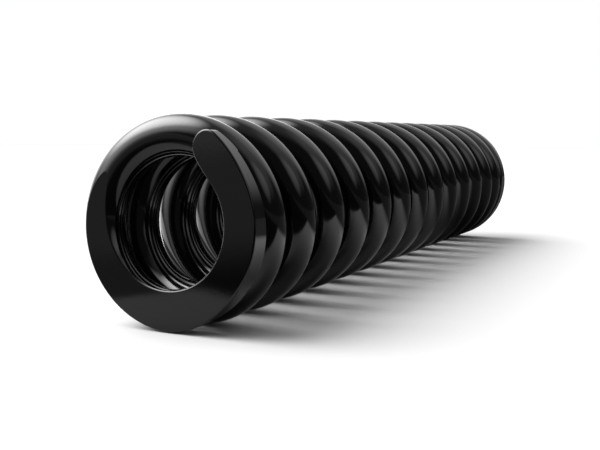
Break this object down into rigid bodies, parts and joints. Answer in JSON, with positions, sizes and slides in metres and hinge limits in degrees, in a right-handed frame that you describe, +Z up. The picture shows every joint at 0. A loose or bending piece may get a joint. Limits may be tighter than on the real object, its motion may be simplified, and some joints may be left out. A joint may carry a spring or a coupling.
{
  "type": "coil spring",
  "caption": "Coilover suspension spring of heavy round wire, right-hand wound, with closed and flat-ground ends and a gloss black coat.",
  "frame": {"origin": "on the coil axis, half-way between the two ground end faces", "axes": "+X along the coil axis from the near end to the far end; +Z up as it lies on its side; +Y to the left seen from the near end"},
  "size_m": [0.4572, 0.1058, 0.1049],
  "materials": {
    "black_coat": "gloss"
  },
  "bodies": {
    "near_end": {"near_end_tip": "black_coat", "near_end_lower": "black_coat", "coil_01_upper": "black_coat", "coil_01_lower": "black_coat"},
    "coil_02_upper": {"coil_02_upper": "black_coat"},
    "coil_02_lower": {"coil_02_lower": "black_coat"},
    "coil_03_upper": {"coil_03_upper": "black_coat"},
    "coil_03_lower": {"coil_03_lower": "black_coat"},
    "coil_04_upper": {"coil_04_upper": "black_coat"},
    "coil_04_lower": {"coil_04_lower": "black_coat"},
    "coil_05_upper": {"coil_05_upper": "black_coat"},
    "coil_05_lower": {"coil_05_lower": "black_coat"},
    "coil_06_upper": {"coil_06_upper": "black_coat"},
    "coil_06_lower": {"coil_06_lower": "black_coat"},
    "coil_07_upper": {"coil_07_upper": "black_coat"},
    "coil_07_lower": {"coil_07_lower": "black_coat"},
    "coil_08_upper": {"coil_08_upper": "black_coat"},
    "coil_08_lower": {"coil_08_lower": "black_coat"},
    "coil_09_upper": {"coil_09_upper": "black_coat"},
    "coil_09_lower": {"coil_09_lower": "black_coat"},
    "coil_10_upper": {"coil_10_upper": "black_coat"},
    "coil_10_lower": {"coil_10_lower": "black_coat"},
    "coil_11_upper": {"coil_11_upper": "black_coat"},
    "coil_11_lower": {"coil_11_lower": "black_coat"},
    "coil_12_upper": {"coil_12_upper": "black_coat"},
    "coil_12_lower": {"coil_12_lower": "black_coat"},
    "far_end": {"coil_13_upper": "black_coat", "coil_13_lower": "black_coat", "far_end_upper": "black_coat", "far_end_tip": "black_coat"}
  },
  "joints": [
    {"name": "close_coil_02_upper", "type": "slide", "parent": "near_end", "child": "coil_02_upper", "axis": [-1, 0, 0], "range_m": [0, 0.00517], "stiffness_N_per_m": 6986000},
    {"name": "close_coil_02_lower", "type": "slide", "parent": "coil_02_upper", "child": "coil_02_lower", "axis": [-1, 0, 0], "range_m": [0, 0.00517], "stiffness_N_per_m": 6986000},
    {"name": "close_coil_03_upper", "type": "slide", "parent": "coil_02_lower", "child": "coil_03_upper", "axis": [-1, 0, 0], "range_m": [0, 0.00669], "stiffness_N_per_m": 5402000},
    {"name": "close_coil_03_lower", "type": "slide", "parent": "coil_03_upper", "child": "coil_03_lower", "axis": [-1, 0, 0], "range_m": [0, 0.00704], "stiffness_N_per_m": 5133000},
    {"name": "close_coil_04_upper", "type": "slide", "parent": "coil_03_lower", "child": "coil_04_upper", "axis": [-1, 0, 0], "range_m": [0, 0.00704], "stiffness_N_per_m": 5131000},
    {"name": "close_coil_04_lower", "type": "slide", "parent": "coil_04_upper", "child": "coil_04_lower", "axis": [-1, 0, 0], "range_m": [0, 0.00704], "stiffness_N_per_m": 5131000},
    {"name": "close_coil_05_upper", "type": "slide", "parent": "coil_04_lower", "child": "coil_05_upper", "axis": [-1, 0, 0], "range_m": [0, 0.00704], "stiffness_N_per_m": 5131000},
    {"name": "close_coil_05_lower", "type": "slide", "parent": "coil_05_upper", "child": "coil_05_lower", "axis": [-1, 0, 0], "range_m": [0, 0.00704], "stiffness_N_per_m": 5131000},
    {"name": "close_coil_06_upper", "type": "slide", "parent": "coil_05_lower", "child": "coil_06_upper", "axis": [-1, 0, 0], "range_m": [0, 0.00704], "stiffness_N_per_m": 5131000},
    {"name": "close_coil_06_lower", "type": "slide", "parent": "coil_06_upper", "child": "coil_06_lower", "axis": [-1, 0, 0], "range_m": [0, 0.00704], "stiffness_N_per_m": 5131000},
    {"name": "close_coil_07_upper", "type": "slide", "parent": "coil_06_lower", "child": "coil_07_upper", "axis": [-1, 0, 0], "range_m": [0, 0.00704], "stiffness_N_per_m": 5131000},
    {"name": "compress", "type": "slide", "parent": "coil_07_upper", "child": "coil_07_lower", "axis": [-1, 0, 0], "range_m": [0, 0.00704], "stiffness_N_per_m": 5131000},
    {"name": "close_coil_08_upper", "type": "slide", "parent": "coil_07_lower", "child": "coil_08_upper", "axis": [-1, 0, 0], "range_m": [0, 0.00704], "stiffness_N_per_m": 5131000},
    {"name": "close_coil_08_lower", "type": "slide", "parent": "coil_08_upper", "child": "coil_08_lower", "axis": [-1, 0, 0], "range_m": [0, 0.00704], "stiffness_N_per_m": 5131000},
    {"name": "close_coil_09_upper", "type": "slide", "parent": "coil_08_lower", "child": "coil_09_upper", "axis": [-1, 0, 0], "range_m": [0, 0.00704], "stiffness_N_per_m": 5131000},
    {"name": "close_coil_09_lower", "type": "slide", "parent": "coil_09_upper", "child": "coil_09_lower", "axis": [-1, 0, 0], "range_m": [0, 0.00704], "stiffness_N_per_m": 5131000},
    {"name": "close_coil_10_upper", "type": "slide", "parent": "coil_09_lower", "child": "coil_10_upper", "axis": [-1, 0, 0], "range_m": [0, 0.00704], "stiffness_N_per_m": 5131000},
    {"name": "close_coil_10_lower", "type": "slide", "parent": "coil_10_upper", "child": "coil_10_lower", "axis": [-1, 0, 0], "range_m": [0, 0.00704], "stiffness_N_per_m": 5131000},
    {"name": "close_coil_11_upper", "type": "slide", "parent": "coil_10_lower", "child": "coil_11_upper", "axis": [-1, 0, 0], "range_m": [0, 0.00704], "stiffness_N_per_m": 5131000},
    {"name": "close_coil_11_lower", "type": "slide", "parent": "coil_11_upper", "child": "coil_11_lower", "axis": [-1, 0, 0], "range_m": [0, 0.007], "stiffness_N_per_m": 5163000},
    {"name": "close_coil_12_upper", "type": "slide", "parent": "coil_11_lower", "child": "coil_12_upper", "axis": [-1, 0, 0], "range_m": [0, 0.006], "stiffness_N_per_m": 6023000},
    {"name": "close_coil_12_lower", "type": "slide", "parent": "coil_12_upper", "child": "coil_12_lower", "axis": [-1, 0, 0], "range_m": [0, 0.00523], "stiffness_N_per_m": 6905000},
    {"name": "close_far_end", "type": "slide", "parent": "coil_12_lower", "child": "far_end", "axis": [-1, 0, 0], "range_m": [0, 0.00138], "stiffness_N_per_m": 26140000}
  ],
  "couplings": [
    {"joint": "close_coil_02_upper", "follows": "compress", "ratio": 0.7345},
    {"joint": "close_coil_02_lower", "follows": "compress", "ratio": 0.7345},
    {"joint": "close_coil_03_upper", "follows": "compress", "ratio": 0.9499},
    {"joint": "close_coil_03_lower", "follows": "compress", "ratio": 0.9997},
    {"joint": "close_coil_04_upper", "follows": "compress", "ratio": 1},
    {"joint": "close_coil_04_lower", "follows": "compress", "ratio": 1},
    {"joint": "close_coil_05_upper", "follows": "compress", "ratio": 1},
    {"joint": "close_coil_05_lower", "follows": "compress", "ratio": 1},
    {"joint": "close_coil_06_upper", "follows": "compress", "ratio": 1},
    {"joint": "close_coil_06_lower", "follows": "compress", "ratio": 1},
    {"joint": "close_coil_07_upper", "follows": "compress", "ratio": 1},
    {"joint": "close_coil_08_upper", "follows": "compress", "ratio": 1},
    {"joint": "close_coil_08_lower", "follows": "compress", "ratio": 1},
    {"joint": "close_coil_09_upper", "follows": "compress", "ratio": 1},
    {"joint": "close_coil_09_lower", "follows": "compress", "ratio": 1},
    {"joint": "close_coil_10_upper", "follows": "compress", "ratio": 1},
    {"joint": "close_coil_10_lower", "follows": "compress", "ratio": 1},
    {"joint": "close_coil_11_upper", "follows": "compress", "ratio": 1},
    {"joint": "close_coil_11_lower", "follows": "compress", "ratio": 0.9938},
    {"joint": "close_coil_12_upper", "follows": "compress", "ratio": 0.8519},
    {"joint": "close_coil_12_lower", "follows": "compress", "ratio": 0.7431},
    {"joint": "close_far_end", "follows": "compress", "ratio": 0.1963}
  ]
}
